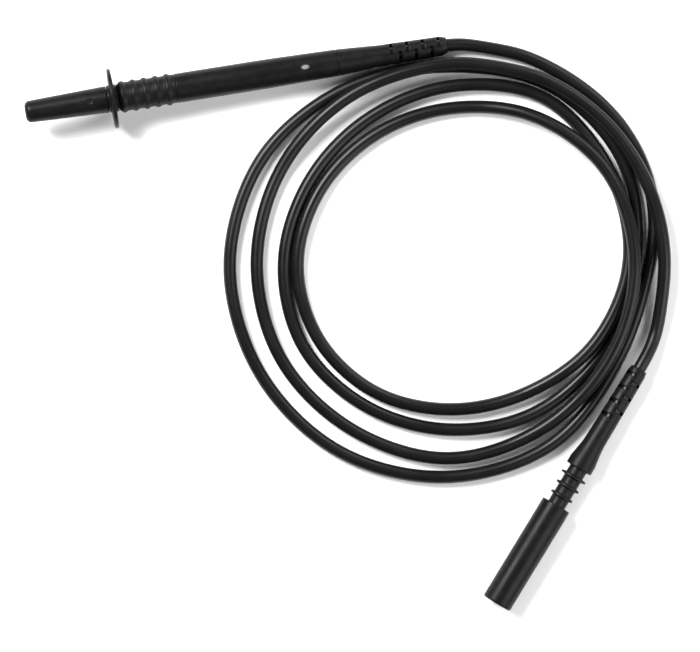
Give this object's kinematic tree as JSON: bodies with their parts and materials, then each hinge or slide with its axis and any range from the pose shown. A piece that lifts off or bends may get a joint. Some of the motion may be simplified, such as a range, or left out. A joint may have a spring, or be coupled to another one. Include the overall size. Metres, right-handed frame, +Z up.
{
  "type": "test probe lead",
  "caption": "Slim pencil test probe with disc finger guard and ribbed grip, on a loosely coiled round cord that ends in a sheathed 4 mm plug.",
  "frame": {"origin": "on the surface that everything lies on, below the middle of the probe's length", "axes": "+X along the probe from its nose to its cord end, +Z up, so the coil and the plug lie towards -Y"},
  "size_m": [0.1813, 0.1766, 0.0179],
  "materials": {
    "hard_plastic": "moulded black plastic with a fine satin grain",
    "core_plastic": "moulded black plastic, satin",
    "soft_rubber": "soft black moulding, matte",
    "cord_jacket": "smooth extruded black jacket, satin",
    "needle_steel": "ground and polished",
    "spring_steel": "drawn wire",
    "plated_brass": "turned and nickel plated",
    "gold_brass": "thin sprung sheet, plated",
    "copper_wire": "bare stranded copper",
    "clear_sleeve": "thin insulating sleeve"
  },
  "bodies": {
    "probe_and_plug": {"tip_needle": "needle_steel", "contact_stem": "plated_brass", "nose_core": "core_plastic", "finger_guard": "hard_plastic", "grip_sleeve": "soft_rubber", "handle_barrel": "hard_plastic", "solder_sleeve": "clear_sleeve", "probe_wire_end": "copper_wire", "probe_cord_end": "cord_jacket", "probe_cord_clamp": "plated_brass", "rear_boot": "soft_rubber", "probe_lead": "cord_jacket", "lead_coil": "cord_jacket", "plug_lead": "cord_jacket", "sheath_spring": "spring_steel", "plug_pin": "plated_brass", "contact_cage": "gold_brass", "plug_neck": "core_plastic", "plug_crimp": "plated_brass", "plug_wire_end": "copper_wire", "plug_cord_end": "cord_jacket", "plug_cord_clamp": "plated_brass", "plug_body": "soft_rubber"},
    "cover": {"tip_cover": "hard_plastic"},
    "sheath": {"plug_sheath": "hard_plastic", "sheath_ring": "core_plastic"}
  },
  "joints": [
    {"name": "cover_pull", "type": "slide", "parent": "probe_and_plug", "child": "cover", "axis": [-0.9981, 0, 0.062], "range_m": [0, 0.023]},
    {"name": "sheath_slide", "type": "slide", "parent": "probe_and_plug", "child": "sheath", "axis": [0.6508, 0.7593, 0], "range_m": [0, 0.009], "stiffness_N_per_m": 250, "springref_m": -0.004, "deforming": ["sheath_spring"]}
  ]
}
